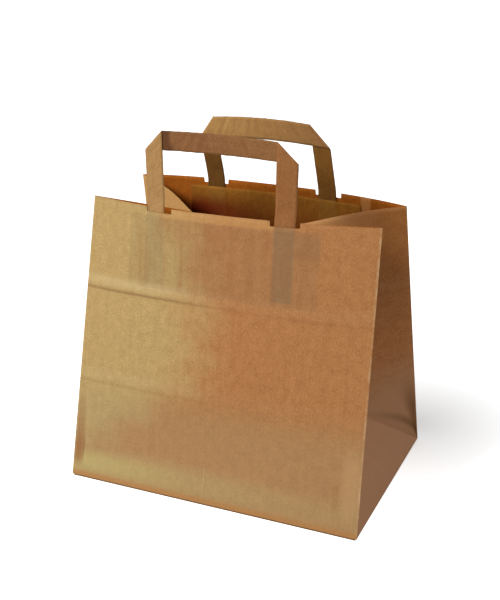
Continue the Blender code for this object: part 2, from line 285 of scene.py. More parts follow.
def body_rows():
    """Heights on the sheet, closer together at the creases."""
    rows = []
    start = BOTTOM_ROUND
    for crease in (LOWER_CREASE, UPPER_CREASE):
        rows += spread(start, crease - FINE_BELOW, BODY_STEP)[:-1]
        start = crease + FINE_ABOVE
        rows += spread(crease - FINE_BELOW, start, FINE_STEP)[:-1]
    rows += spread(start, PANEL_HEIGHT, BODY_STEP)
    return sorted(rows + [HALF_GUSSET])


def notch_edges():
    """Where the rim steps down and up again for the handles' legs."""
    edges = []
    for side in (-1, 1):
        middle = NOTCH_SHIFT + side * NOTCH_SPACING / 2
        edges += [middle - NOTCH_WIDTH / 2, middle + NOTCH_WIDTH / 2]
    return edges


def body_columns():
    """Places across a panel, from one rounded fold to the other, with two at each end of a notch."""
    marks = [-BAG_WIDTH / 2 + FOLD_ROUND, *notch_edges(), BAG_WIDTH / 2 - FOLD_ROUND]
    columns = []
    for i in range(len(marks) - 1):
        start = marks[i] + (NOTCH_SLANT / 2 if i else 0)
        end = marks[i + 1] - (NOTCH_SLANT / 2 if i < len(marks) - 2 else 0)
        columns += spread(start, end, BODY_STEP)
    return columns


def rim(across):
    """The height of a panel's edge: it steps down between a notch's two edges."""
    edges = notch_edges()
    inside = any(low < across < high for low, high in (edges[:2], edges[2:]))
    return PANEL_HEIGHT - (NOTCH_DEPTH if inside else 0)


def at_rim(across, height):
    """The height on the sheet of a row there, with the last rows drawn down into the notches."""
    low = PANEL_HEIGHT - NOTCH_ROWS
    if height < low:
        return height
    return low + (height - low) * (rim(across) - low) / NOTCH_ROWS


COLUMNS = body_columns()


def rounded(before, fold, after):
    """The middle of a rounded fold between two points of the sheet."""
    return (before + 2 * fold + after) / 4


def body_loop(height):
    """The sheet at one height, from the back's left fold round to it again: (point, across, height)."""
    highs = [at_rim(x, height) for x in COLUMNS]
    front = [(FRONT.point(x, high), x, high) for x, high in zip(COLUMNS, highs)]
    back = [(BACK.point(x, high), BACK_MIDDLE - x, high) for x, high in zip(COLUMNS, highs)][::-1]
    right, left = [], []
    for side, gusset in ((right, RIGHT), (left, LEFT)):
        places = gusset.section(height)
        for i, place in enumerate(places):
            side.append((place, GUSSET_WIDTH * i / (len(places) - 1), height))
    right = [(place, BAG_WIDTH / 2 + x, high) for place, x, high in right]
    left = [(place, -BAG_WIDTH / 2 - x, high) for place, x, high in reversed(left)]
    parts = [left, front, right, back]
    folds = [FRONT.left(height), FRONT.right(height), BACK.right(height), BACK.left(height)]
    loop = []
    for i, part in enumerate(parts):
        after = parts[(i + 1) % len(parts)]
        loop += part
        loop.append((rounded(part[-1][0], folds[i], after[0][0]), part[-1][1] + FOLD_ROUND, height))
    last = loop[-1]
    return [(last[0], left[0][1] - FOLD_ROUND, height)] + loop


def body_bottom(feet):
    """Rows that round the bottom's edge, from the flat bottom up to the first row of the walls."""
    first = body_loop(BOTTOM_ROUND)
    inset_x = 1 - 2 * BOTTOM_ROUND / BAG_WIDTH
    inset_y = 1 - 2 * BOTTOM_ROUND / GUSSET_WIDTH
    rows = []
    for step in range(BOTTOM_STEPS):
        u = step / BOTTOM_STEPS
        row = []
        for (foot, across, _), (wall, _, _) in zip(feet, first):
            inset = Vector((foot.x * inset_x, foot.y * inset_y, foot.z))
            place = inset * (1 - u) ** 2 + foot * 2 * u * (1 - u) + wall * u**2
            row.append((place, across, BOTTOM_ROUND * u))
        rows.append(row)
    return rows


def bottom_grid(base):
    """The flat bottom, between the two long edges of the bottom's first row."""
    columns = len(COLUMNS) + 2
    sides = sum(parts + 1 for parts in GUSSET_PARTS)
    front = base[sides + 1 : sides + 1 + columns]
    right = base[sides + columns : 2 * sides + columns + 2]
    back = base[2 * sides + columns + 1 :][::-1]
    rows = []
    for place, _, _ in right:
        share = (place.y - front[-1][0].y) / (back[-1][0].y - front[-1][0].y)
        row = [low[0].lerp(high[0], share) for low, high in zip(front, back)]
        rows.append([(point, point.x, -share * GUSSET_WIDTH) for point in row])
    return rows[::-1]


def add_grid(bm, rows):
    """Quads between rows of (point, across, height), which also become the UV map, in metres."""
    flat = bm.loops.layers.uv.get("flat") or bm.loops.layers.uv.new("flat")
    made = [[bm.verts.new(place) for place, _, _ in row] for row in rows]
    for j in range(len(rows) - 1):
        for i in range(len(rows[j]) - 1):
            corners = ((j, i), (j, i + 1), (j + 1, i + 1), (j + 1, i))
            face = bm.faces.new([made[a][b] for a, b in corners])
            face.smooth = True
            for loop, (a, b) in zip(face.loops, corners):
                loop[flat].uv = rows[a][b][1:]


def sheet_object(name, grids, thickness, materials, weld=WELD):
    """A sheet of paper through grids of points, thickened on its outer side."""
    bm = bmesh.new()
    for rows in grids:
        add_grid(bm, rows)
    bmesh.ops.remove_doubles(bm, verts=bm.verts, dist=weld)
    bmesh.ops.dissolve_degenerate(bm, edges=bm.edges, dist=weld)
    mesh = bpy.data.meshes.new(name)
    bm.to_mesh(mesh)
    bm.free()
    mesh.set_sharp_from_angle(angle=FOLD_ANGLE)
    sheet = bpy.data.objects.new(name, mesh)
    bpy.context.scene.collection.objects.link(sheet)
    for material in materials:
        mesh.materials.append(material)
    thick = sheet.modifiers.new("paper", "SOLIDIFY")
    thick.thickness = thickness
    thick.offset = 1
    thick.use_even_offset = True
    thick.thickness_clamp = 1
    thick.material_offset = len(materials) - 1
    thick.material_offset_rim = 0
    return sheet


def linear(colour):
    """A colour written as sRGB hex, as the linear numbers that a shader takes."""
    parts = [int(colour[i : i + 2], 16) / 255 for i in (1, 3, 5)]
    return tuple(c / 12.92 if c <= 0.04045 else ((c + 0.055) / 1.055) ** 2.4 for c in parts) + (1,)


def add_node(material, kind, inputs, **settings):
    """Adds a node with its settings. An input is a value, a colour in hex, or another node's output,
    which is linked."""
    tree = material.node_tree
    made = tree.nodes.new("ShaderNode" + kind)
    for name, value in settings.items():
        setattr(made, name, value)
    for name, value in inputs.items():
        if isinstance(value, bpy.types.NodeSocket):
            tree.links.new(value, made.inputs[name])
        else:
            made.inputs[name].default_value = linear(value) if isinstance(value, str) else value
    return made


def sheet_place(material):
    """The place on the flat sheet: its across and its height, in metres."""
    sheet = add_node(material, "UVMap", {}, uv_map="flat")
    parts = add_node(material, "SeparateXYZ", {0: sheet.outputs[0]})
    return sheet.outputs[0], parts.outputs["X"], parts.outputs["Y"]


def panel_across(material, across):
    """The across counted alike on the front and the back, which is counted back from its far fold."""
    middle = BACK_MIDDLE / 2
    away = add_node(material, "Math", {0: across, 1: middle}, operation="SUBTRACT").outputs[0]
    away = add_node(material, "Math", {0: away}, operation="ABSOLUTE").outputs[0]
    return add_node(material, "Math", {0: middle, 1: away}, operation="SUBTRACT").outputs[0]


def speckle(material, place, wide, tall, detail=2):
    """Specks and clouds over the sheet, this wide and tall in metres."""
    stretch = add_node(material, "VectorMath", {0: place, 1: (1 / wide, 1 / tall, 1)}, operation="MULTIPLY")
    grain = {"Vector": stretch.outputs[0], "Scale": 1.0, "Detail": detail, "Roughness": 0.6}
    return add_node(material, "TexNoise", grain).outputs["Fac"]


def fading(material, value, full, none, share=1.0, least=0.0, course="LINEAR"):
    """A share that is whole where the value is at full, and fades to the least of it at none."""
    fall = {"Value": value, "From Min": full, "From Max": none, "To Min": 1.0, "To Max": least}
    fall = add_node(material, "MapRange", fall, interpolation_type=course).outputs[0]
    return add_node(material, "Math", {0: fall, 1: share}, operation="MULTIPLY").outputs[0]


def within(material, value, middle, half, soft, share=1.0):
    """A share that is whole within half of the middle, and fades to nothing over the soft edge."""
    away = add_node(material, "Math", {0: value, 1: middle}, operation="SUBTRACT").outputs[0]
    away = add_node(material, "Math", {0: away}, operation="ABSOLUTE").outputs[0]
    return fading(material, away, half - soft / 2, half + soft / 2, share, course="SMOOTHSTEP")


def stained(material, colour, tone, most, share=1.0):
    """The colour with a tone laid over it, at most this much, and less where the share is less."""
    share = add_node(material, "Math", {0: share, 1: most}, operation="MULTIPLY").outputs[0]
    return add_node(material, "MixRGB", {"Fac": share, "Color1": colour, "Color2": tone}).outputs[0]


def kraft(material, place, tone, dark, light):
    """Kraft's mottle: clouds of fibre some millimetres wide, paler flecks, and darker streaks along the
    way the paper was made."""
    clouds = fading(material, speckle(material, place, 7 * MM, 9 * MM, 3), 0.7, 0.3)
    colour = stained(material, tone, dark, 1.0, clouds)
    flecks = fading(material, speckle(material, place, 1.3 * MM, 1.9 * MM, 1), 0.75, 0.42)
    colour = stained(material, colour, light, 0.7, flecks)
    streaks = fading(material, speckle(material, place, 3.4 * MM, 60 * MM), 0.75, 0.45)
    return stained(material, colour, dark, 0.35, streaks)


def kraft_paper(name, roughness, gloss):
    """A plain paper finish, and its material."""
    material = bpy.data.materials.new(name)
    material.use_nodes = True
    shader = material.node_tree.nodes["Principled BSDF"]
    shader.inputs["Roughness"].default_value = roughness
    shader.inputs["IOR"].default_value = 1.5
    shader.inputs["Specular IOR Level"].default_value = gloss
    return material, shader


def surface(material, shader, place, colour, tooth):
    """Gives the paper its colour, and the tooth of its fibres and streaks. Real fibres are finer than
    the picture shows, so they are drawn about a millimetre wide."""
    fine = speckle(material, place, 0.9 * MM, 1.4 * MM)
    streak = speckle(material, place, 1.2 * MM, 14 * MM)
    both = add_node(material, "Math", {0: fine, 1: streak}, operation="ADD").outputs[0]
    bump = add_node(material, "Bump", {"Height": both, "Strength": tooth, "Distance": 0.15 * MM})
    material.node_tree.links.new(bump.outputs[0], shader.inputs["Normal"])
    material.node_tree.links.new(colour, shader.inputs["Base Color"])


def kraft_with_painted_light(material, place, across, height, right_side):
    """The mottle with painted light: tan where light is painted onto the front, on its left and along
    its foot, and a redder brown where it isn't; about a third as tan on the right gusset. The border
    between them wanders."""
    low = add_node(material, "Math", {0: 105 * MM, 1: height}, operation="SUBTRACT").outputs[0]
    low = add_node(material, "Math", {0: low, 1: 0.0}, operation="MAXIMUM").outputs[0]
    high = add_node(material, "Math", {0: height, 1: 195 * MM}, operation="SUBTRACT").outputs[0]
    high = add_node(material, "Math", {0: high, 1: 0.0}, operation="MAXIMUM").outputs[0]
    cloud = speckle(material, place, 38 * MM, 30 * MM)
    border = across
    for push, strength in ((low, 1.35), (high, 0.4), (cloud, 70 * MM)):
        border = add_node(material, "Math", {0: push, 1: strength, 2: border}, operation="MULTIPLY_ADD")
        border = border.outputs[0]
    left = fading(material, border, -25 * MM, 55 * MM, 0.95, 0.126, "SMOOTHSTEP")
    foot = within(material, height, 15 * MM, 13 * MM, 24 * MM, 0.9)
    foot = fading(material, across, -BAG_WIDTH / 2, BAG_WIDTH / 2, foot, 0.444)
    # Painted light: the tan share on the left and along the foot, kept to about a third on the right
    # gusset.
    painted_light = add_node(material, "Math", {0: left, 1: foot}, operation="MAXIMUM").outputs[0]
    painted_light = fading(material, right_side, 0.0, 1.0, painted_light, 0.35)
    pairs = (("#AE713E", "#B8995F"), ("#9D6030", "#A88850"), ("#BA804E", "#C6AC76"))
    tone, dark, light = (stained(material, unlit_tone, lit_tone, 1.0, painted_light) for unlit_tone, lit_tone in pairs)
    return kraft(material, place, tone, dark, light)


def glued_behind(material, colour, place, across, over, height):
    """The same colour with painted shade: greyer where the patch and the legs glued on behind it show
    through the thin paper, and streaked where the patch cockles; and a dark smudge beside the top of
    the right leg."""
    patch_middle = PANEL_HEIGHT - PATCH_DROP - PATCH_HEIGHT / 2
    patch = within(material, over, PATCH_SHIFTS[0], PATCH_WIDTH / 2, 3 * MM)
    patch = within(material, height, patch_middle, PATCH_HEIGHT / 2, 3 * MM, patch)
    # Painted shade: the patch and the legs glued on behind show through the thin paper as grey.
    show_through_shade = add_node(material, "Math", {0: patch, 1: 0.15}, operation="MULTIPLY").outputs[0]
    for side, share in ((-1, 0.13), (1, 0.33)):
        leg = within(material, over, LEG_SHIFT + side * LEG_SPACING / 2, LEG_WIDTH / 2, 1.5 * MM, share)
        leg = within(material, height, PANEL_HEIGHT - LEG_DEPTH / 2, LEG_DEPTH / 2, 2 * MM, leg)
        show_through_shade = add_node(material, "Math", {0: show_through_shade, 1: leg}, operation="ADD").outputs[0]
    colour = stained(material, colour, "#68624A", 1.0, show_through_shade)
    # Painted shade of the patch's cockles: darker streaks over it.
    cockle = fading(material, speckle(material, place, 9 * MM, 90 * MM), 0.64, 0.42, patch)
    colour = stained(material, colour, "#925A2E", 0.28, cockle)
    dark_smudge = within(material, across, 80 * MM, 11 * MM, 6 * MM)
    dark_smudge = within(material, height, 236 * MM, 11 * MM, 10 * MM, dark_smudge)
    return stained(material, colour, "#74543A", 0.22, dark_smudge)


def right_gusset_light_and_shade(material, colour, across, height, right_side):
    """The same colour on the right gusset, with light and shade painted in: deeper with painted shade high
    up, paler with painted light low down, light along its front fold, painted shade near its back fold
    and the most painted shade where its triangle tucks in."""
    # Painted shade high up, where the gusset folds in.
    deep = fading(material, height, 220 * MM, 110 * MM, right_side, course="SMOOTHSTEP")
    colour = stained(material, colour, "#8A540C", 0.28, deep)
    # Painted light low down, where the triangle leans in and faces up.
    pale = fading(material, height, 30 * MM, 130 * MM, right_side, course="SMOOTHSTEP")
    colour = stained(material, colour, "#D09878", 0.42, pale)
    back_half = within(material, across, 270 * MM, 50 * MM, 1 * MM)
    # Painted shade along the back fold low down.
    back_fold_shade = fading(material, across, 317 * MM, 303 * MM, back_half, course="SMOOTHSTEP")
    back_fold_shade = within(material, height, 0.0, 65 * MM, 50 * MM, back_fold_shade)
    colour = stained(material, colour, "#6E4208", 0.7, back_fold_shade)
    slant = add_node(material, "Math", {0: across, 1: height}, operation="ADD").outputs[0]
    # Painted shade, the darkest, where the triangle tucks in.
    tuck_shade = within(material, slant, 328 * MM, 8 * MM, 16 * MM, back_half)
    tuck_shade = fading(material, across, 322 * MM, 265 * MM, tuck_shade, 0.067)
    tuck_shade = within(material, height, 0.0, 60 * MM, 40 * MM, tuck_shade)
    colour = stained(material, colour, "#5A3A06", 0.75, tuck_shade)
    fore = fading(material, across, 280 * MM, 306 * MM, right_side)
    fore = within(material, height, PANEL_HEIGHT, 22 * MM, 24 * MM, fore)
    colour = stained(material, colour, "#C89058", 1.0, fore)
    # Painted shade along the back fold high up.
    upper_back_shade = fading(material, across, 308 * MM, 292 * MM, back_half)
    upper_back_shade = within(material, height, PANEL_HEIGHT, 38 * MM, 16 * MM, upper_back_shade)
    return stained(material, colour, "#6E4208", 0.18, upper_back_shade)


# The lines beside the glued seam on the back: place across and half width in mm, tone and strength.
SEAM_LINES = ((362, 5, "#7A5228", 0.12), (367, 0.4, "#6A4018", 0.4), (368, 0.6, "#D0A878", 0.3))

# Small marks on the front: tone and strength, then the middle, the half width and the soft edge in mm,
# across the sheet and up it. They are all painted light and shade: the tuck's shadow, the lit and the
# shaded side of a crease line, the shade in a dent and a painted highlight beside it.
FRONT_MARKS = (
    ("#70441E", 0.45, (-130.5, 0.8, 1.5), (27, 9, 12)),
    ("#D2B888", 0.3, (-3.8, 0.4, 0.6), (17, 14, 4)),
    ("#8A6238", 0.25, (-3, 0.4, 0.6), (17, 14, 4)),
    ("#7A5A34", 0.17, (118, 2.5, 3), (30, 11, 8)),
    ("#D8B480", 0.16, (132, 9, 8), (44, 26, 24)),
)


def marked(material, colour, across, height):
    """The same colour, lighter and warmer with painted light on the left gusset, with the seam's lines on
    the back, and on the front a greenish tint low on its left, a lighter lip between the legs, painted
    shade in the tuck at its left and small marks of painted light and shade."""
    # Painted light: the left gusset, which faces the lamp, lighter and warmer.
    left_gusset_light = fading(material, across, -150 * MM, -138 * MM)
    colour = stained(material, colour, "#CC8038", 0.35, left_gusset_light)
    for line, half, tone, strength in SEAM_LINES:
        seam = within(material, across, line * MM, half * MM, 0.5 * MM)
        colour = stained(material, colour, tone, strength, seam)
    # A pale greenish tint low on the front's left.
    low_left_tint = fading(material, across, -120 * MM, -10 * MM)
    low_left_tint = within(material, height, 15 * MM, 8 * MM, 12 * MM, low_left_tint)
    colour = stained(material, colour, "#BEB06C", 0.4, low_left_tint)
    lip = within(material, height, PANEL_HEIGHT, PATCH_DROP, 5 * MM)
    lip = within(material, across, LEG_SHIFT, LEG_SPACING / 2 - LEG_WIDTH / 2, 3 * MM, lip)
    colour = stained(material, colour, "#CCA060", 0.3, lip)
    # Painted shade in the tuck at the front's left.
    tuck = fading(material, height, 20 * MM, 85 * MM)
    tuck = within(material, height, 60 * MM, 48 * MM, 12 * MM, tuck)
    tuck = within(material, across, -135.5 * MM, 4.5 * MM, 6 * MM, tuck)
    colour = stained(material, colour, "#8A4418", 0.6, tuck)
    for tone, strength, sideways, upwards in FRONT_MARKS:
        mark = within(material, across, *(size * MM for size in sideways))
        mark = within(material, height, *(size * MM for size in upwards), mark)
        colour = stained(material, colour, tone, strength, mark)
    return colour


def wear_and_painted_light(material, colour, place, across, over, height):
    """The same colour with its folds pale, partly from wear and partly a painted highlight, and its
    creases pale above, partly from wear and partly painted light, most on the left, with a line of
    painted shade under each crease, an orange band of painted light from the floor along the foot,
    and painted shade along the bottom edge and the left fold."""
    patchy = fading(material, speckle(material, place, 9 * MM, 9 * MM), 0.65, 0.35)
    # Folds: pale, partly from wear and partly a painted highlight on their rounding.
    for fold in (-BAG_WIDTH / 2, BAG_WIDTH / 2):
        fold_wear_and_highlight = within(material, across, fold, 1.5 * MM, 2 * MM, patchy)
        colour = stained(material, colour, "#C9A67C", 0.6, fold_wear_and_highlight)
    left = fading(material, over, -80 * MM, 20 * MM, 1.0, 0.35, "SMOOTHSTEP")
    far_left = fading(material, over, -80 * MM, 20 * MM, left, 0.35, "SMOOTHSTEP")
    # Creases: pale above, partly from wear and partly painted light, and painted shade just below.
    for crease, strength in ((UPPER_CREASE, 1.0), (LOWER_CREASE, 0.35)):
        pale = within(material, height, crease + 5 * MM, 4 * MM, 7 * MM, far_left)
        colour = stained(material, colour, "#D2BA8C", 0.3 * strength, pale)
        dark = within(material, height, crease - 3 * MM, 1.2 * MM, 2.4 * MM, left)
        colour = stained(material, colour, "#7A5230", 0.45 * strength, dark)
    # Painted light: an orange band along the foot, where light from the floor falls.
    foot = within(material, height, 0.0, 5 * MM, 3 * MM)
    foot = within(material, over, 0.0, BAG_WIDTH / 2, 1 * MM, foot)
    colour = stained(material, colour, "#B67A3E", 0.5, foot)
    # Painted shade along the bottom edge and the left fold, which face away from the light.
    bottom_edge_shade = within(material, height, 0.0, 0.8 * MM, 0.8 * MM)
    left_edge_shade = within(material, across, -BAG_WIDTH / 2 - 0.7 * MM, 0.7 * MM, 0.4 * MM)
    edge = add_node(material, "Math", {0: bottom_edge_shade, 1: left_edge_shade}, operation="MAXIMUM").outputs[0]
    return stained(material, colour, "#6B5238", 0.5, edge)


def kraft_outside():
    """Unbleached kraft, machine glazed: a fine mottle, tan where light is painted on and a redder brown
    where it isn't, greyer with painted shade where the handles' legs and patches are glued on behind and
    low down where the walls sag, with light and shade painted on the right gusset, and pale at its
    folds, partly from wear and partly a painted highlight."""
    material, shader = kraft_paper("kraft_outside", 0.7, 0.25)
    place, across, height = sheet_place(material)
    over = panel_across(material, across)
    right_side = fading(material, across, BAG_WIDTH / 2 + 4 * MM, BAG_WIDTH / 2 - 2 * MM)
    colour = kraft_with_painted_light(material, place, across, height, right_side)
    colour = glued_behind(material, colour, place, across, over, height)
    # Painted shade: greyer low down, where the walls sag.
    dull = fading(material, height, 60 * MM, 110 * MM, course="SMOOTHSTEP")
    colour = stained(material, colour, "#A0926A", 0.3, dull)
    colour = right_gusset_light_and_shade(material, colour, across, height, right_side)
    colour = marked(material, colour, across, height)
    colour = wear_and_painted_light(material, colour, place, across, over, height)
    surface(material, shader, place, colour, 0.4)
    return material


def inside_painted_shade(material, colour, height):
    """The same colour, redder and darker with painted shade down inside the bag."""
    depth = fading(material, height, 205 * MM, 246 * MM, course="SMOOTHSTEP")
    return stained(material, colour, "#6E2A08", 0.75, depth)


def kraft_inside():
    """The same kraft on its rough side, a deeper orange that is partly its own and partly painted light
    reflected round inside the bag, darker with painted shade low inside, and paler where the sheet's two
    ends are glued over each other at the back."""
    material, shader = kraft_paper("kraft_inside", 0.85, 0.1)
    place, across, height = sheet_place(material)
    # A strong orange, partly the kraft's own and partly painted light reflected round inside the bag.
    colour = kraft(material, place, "#AC6016", "#984C0C", "#B6702C")
    colour = inside_painted_shade(material, colour, height)
    seam = within(material, across, SEAM_LINES[0][0] * MM, SEAM_LINES[0][1] * MM, 2 * MM)
    colour = stained(material, colour, "#E0A060", 0.45, seam)
    surface(material, shader, place, colour, 0.5)
    return material


bottom = body_bottom(body_loop(0))
walls = bottom + [body_loop(height) for height in body_rows()]
BODY_KRAFTS = [kraft_outside(), kraft_inside()]
body = sheet_object("kraft_body", [walls, bottom_grid(bottom[0])], BODY_PAPER, BODY_KRAFTS)
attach(body, "root")
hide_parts("bag_body")


# The bottom's outer layers: the flaps of the front and the back, with their ends cut at 45 degrees,
# folded in flat over the gussets' flaps and glued, the front's over the back's.
FLAP_PAPER = 0.2 * MM
FLAP_OVERLAP = 24 * MM
FLAP_BEND = 0.7 * MM
FLAP_BEND_STEPS = 4
FLAP_STEP = 3 * MM
FLAP_COCKLE = 0.04 * MM
FRONT_FLAP_LOW = 0.15 * MM
BACK_FLAP_LOW = 0.45 * MM


def flap_rows(outward, low, seed):
    """Rows from the bottom's edge, round its bend and in to the free edge. Its height on the sheet is
    below nothing."""
    places = []
    for step in range(FLAP_BEND_STEPS):
        angle = math.pi / 2 * step / FLAP_BEND_STEPS
        y = HALF_GUSSET - FLAP_BEND * (1 - math.cos(angle))
        places.append((y, FLAP_BEND * (1 - math.sin(angle))))
    places += [(y, 0) for y in spread(HALF_GUSSET - FLAP_BEND, -FLAP_OVERLAP / 2, -FLAP_STEP)]
    rows = []
    for y, lift in places:
        half = BAG_WIDTH / 2 - (HALF_GUSSET - y) - FLAP_BEND
        row = []
        for share in spread(-1, 1, 2 * BODY_STEP / BAG_WIDTH):
            x = share * half
            cockle = FLAP_COCKLE * swell(x, y, 9 * MM, seed)
            point = Vector((x, outward * y, low + lift + cockle))
            row.append((point, x if outward < 0 else BACK_MIDDLE - x, y - HALF_GUSSET))
        rows.append(row if outward < 0 else row[::-1])
    return rows


for name, outward, low, seed in (
    ("front_flap", -1, FRONT_FLAP_LOW, 31.1),
    ("back_flap", 1, BACK_FLAP_LOW, 37.3),
):
    flap = sheet_object(name, [flap_rows(outward, low, seed)], FLAP_PAPER, BODY_KRAFTS[:1])
    flap.modifiers["paper"].offset = 0
    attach(flap, "root")
    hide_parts("bag_body")


# The handles: a strip of kraft folded over itself to several layers. Each runs up from between the
# panel and its patch, turns over at a slanting fold, crosses, turns over again and runs down, so that
# its bar shows the strip's other side.
STRIP = 0.7 * MM
STRIP_WELD = 0.002 * MM
LAYERS = 0.1 * MM
TILT_REACH = 12 * MM
HANDLE_ARCH = 3.6 * MM
GLUE_GAP = 0.3 * MM
LEG_WAVE = 0.25 * MM
BAR_WAVE = 0.75 * MM
WAVE_LENGTH = 5 * MM
WAVE_SLANT = 0.4 * MM
WAVE_START = 10 * MM
STRIP_PARTS = 8
STRIP_STEP = 1.2 * MM
TURN_PARTS = 6


class Handle:
    """The shape of one handle, and where a point of it lies on the bag."""

    def __init__(self, panel, width, bar_width, rise, shift, sway, drop, tilt):
        self.panel = panel
        self.outer = width / 2
        self.rise = rise
        self.bar_width = bar_width
        self.shoulder = PANEL_HEIGHT + rise - bar_width
        self.shift = shift
        self.sway = sway
        self.drop = drop
        self.tilt = tilt

    def place(self, across, height, depth):
        """The flat handle's point inside the panel, or leaning by itself above the rim."""
        above = height - PANEL_HEIGHT
        if above <= 0:
            return self.panel.inside(across + self.shift, height, depth)
        up = above / self.rise
        place_across = across + self.shift + self.sway * up
        above += HANDLE_ARCH * (1 - (across / self.outer) ** 2) * min(1, up)
        above -= self.drop * across / self.outer * up
        edge = self.panel.point(place_across, PANEL_HEIGHT)
        lower = (edge - self.panel.point(place_across, PANEL_HEIGHT - SLOPE_STEP)).normalized()
        upper = Vector((0, math.sin(self.tilt), math.cos(self.tilt)))
        turned = min(above, TILT_REACH)
        share = turned / TILT_REACH
        place = edge + lower * (turned * (1 - share / 2))
        place += upper * (turned * share / 2 + above - turned)
        along = self.panel.along(place_across, PANEL_HEIGHT)
        inward = along.cross(lower.lerp(upper, share)).normalized() * self.panel.outward
        return place + inward * depth


FRONT_HANDLE = Handle(
    FRONT, 143.6 * MM, 16 * MM, 65.1 * MM, LEG_SHIFT, 5.8 * MM, 1.8 * MM, math.radians(-4.5)
)
BACK_HANDLE = Handle(
    BACK, 138 * MM, 18.5 * MM, 58.4 * MM, -1 * MM, -6.1 * MM, 0.4 * MM, math.radians(-5.5)
)


def strip_rows(handle, seed):
    """The strip's middle surface as rows across it, from one foot to the other."""
    outer = handle.outer
    foot = PANEL_HEIGHT - LEG_DEPTH
    shoulder = handle.shoulder
    leg_depth = GLUE_GAP + STRIP / 2
    bar_depth = leg_depth + STRIP + LAYERS
    shares = [k / STRIP_PARTS for k in range(STRIP_PARTS + 1)]

    def leg(side):
        rows = []
        for height in spread(foot, shoulder, STRIP_STEP):
            up = (height - foot) / (shoulder - foot)
            tops = [shoulder + w * handle.bar_width for w in shares]
            rows.append([
                (side * (outer - w * LEG_WIDTH), foot + (top - foot) * up, leg_depth)
                for w, top in zip(shares, tops)
            ])
        return rows

    def turn(side):
        rows = []
        radius = (bar_depth - leg_depth) / 2
        slant = Vector((side * handle.bar_width, LEG_WIDTH)).normalized()
        for step in range(1, TURN_PARTS):
            angle = math.pi * step / TURN_PARTS
            bulge = slant * radius * math.sin(angle)
            depth = leg_depth + radius * (1 - math.cos(angle))
            xs = [side * (outer - w * LEG_WIDTH) + bulge.x for w in shares]
            ys = [shoulder + w * handle.bar_width + bulge.y for w in shares]
            rows.append([(x, y, depth) for x, y in zip(xs, ys)])
        return rows

    bar = [
        [(x * (outer - w * LEG_WIDTH), shoulder + w * handle.bar_width, bar_depth) for w in shares]
        for x in spread(-1, 1, STRIP_STEP / outer)
    ]
    flat = leg(-1) + turn(-1) + bar + turn(1)[::-1] + leg(1)[::-1]
    rows = []
    length = 0
    for j, row in enumerate(flat):
        if j:
            length += math.dist(row[STRIP_PARTS // 2], flat[j - 1][STRIP_PARTS // 2])
        places = []
        for k, (x, y, depth) in enumerate(row):
            free = smooth(y, PANEL_HEIGHT, PANEL_HEIGHT + WAVE_START)
            crossing = smooth(y, handle.shoulder - 4 * MM, handle.shoulder)
            size = LEG_WAVE + (BAR_WAVE - LEG_WAVE) * crossing
            wave = swell(length, k * WAVE_SLANT, WAVE_LENGTH, seed) * size * free
            places.append((handle.place(x, y, depth + wave), shares[k] * LEG_WIDTH, length))
        rows.append(places)
    return rows


def kraft_strip(name, first, last, shadow_strength):
    """Folded kraft strip, creased across by the hand that opened it, with painted shade along its creases.
    Its colour changes along it from the first leg to the last, and a painted shadow darkens the bar where
    it comes out of its first fold, behind the leg."""
    material, shader = kraft_paper(name, 0.75, 0.25)
    place, across, length = sheet_place(material)
    turn = fading(material, length, 290 * MM, 110 * MM, course="SMOOTHSTEP")
    tone, dark, light = (stained(material, start, end, 1.0, turn) for start, end in zip(first, last))
    colour = kraft(material, place, tone, dark, light)
    # Painted shade of the creases: darker bands across the strip.
    ripple_shade = fading(material, speckle(material, place, 50 * MM, 3.5 * MM), 0.7, 0.45)
    colour = stained(material, colour, stained(material, dark, "#503010", 0.4), 0.2, ripple_shade)
    # Painted shadow where the bar comes out from behind the leg.
    slant = add_node(material, "Math", {0: across, 1: 0.87, 2: length}, operation="MULTIPLY_ADD")
    leg_shadow = within(material, slant.outputs[0], 146 * MM, 6 * MM, 6 * MM)
    colour = stained(material, colour, "#4A2406", shadow_strength, leg_shadow)
    surface(material, shader, place, colour, 0.5)
    return material


# The strip's tone, its dark clouds and its light flecks: paler with painted light where the lamp falls
# on it (TAN, PALE), its own brown (BROWN, WARM), darker towards the front bar's left end (DEEP), and in
# the other handle's painted shade (SHADED), a little lighter on the last leg (OPEN).
TAN = ("#AE8450", "#9C7240", "#B89262")
PALE = ("#BC8E50", "#AA7C42", "#C69A62")
BROWN = ("#986232", "#885326", "#A47244")
DEEP = ("#865830", "#764A26", "#94683E")
WARM = ("#946638", "#82562C", "#A27446")
SHADED = ("#72480E", "#5F3A08", "#80561E")
OPEN = ("#84561A", "#724610", "#92662A")

for name, handle, colours, seed in (
    ("front_strip", FRONT_HANDLE, ((TAN, BROWN, 0.0), (DEEP, WARM, 0.7)), 11.3),
    ("back_strip", BACK_HANDLE, ((SHADED, OPEN, 0.0), (PALE, WARM, 0.0)), 17.9),
):
    sides = [kraft_strip(f"{name}_{side}", *ends) for side, ends in zip(("front", "back"), colours)]
    strip = sheet_object(name, [strip_rows(handle, seed)], STRIP, sides, STRIP_WELD)
    strip.modifiers["paper"].offset = 0
    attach(strip, "root")
    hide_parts(name.replace("strip", "handle"))


# The patches: a sheet of kraft glued over the legs of each handle on the inside of the panel. The
# glue cockles it, and it stands up over the legs.
PATCH_PAPER = 0.3 * MM
PATCH_RAMP = 3 * MM
PATCH_STEP = 2 * MM
PATCH_ROW_STEP = 3 * MM
PATCH_COCKLE = 0.15 * MM


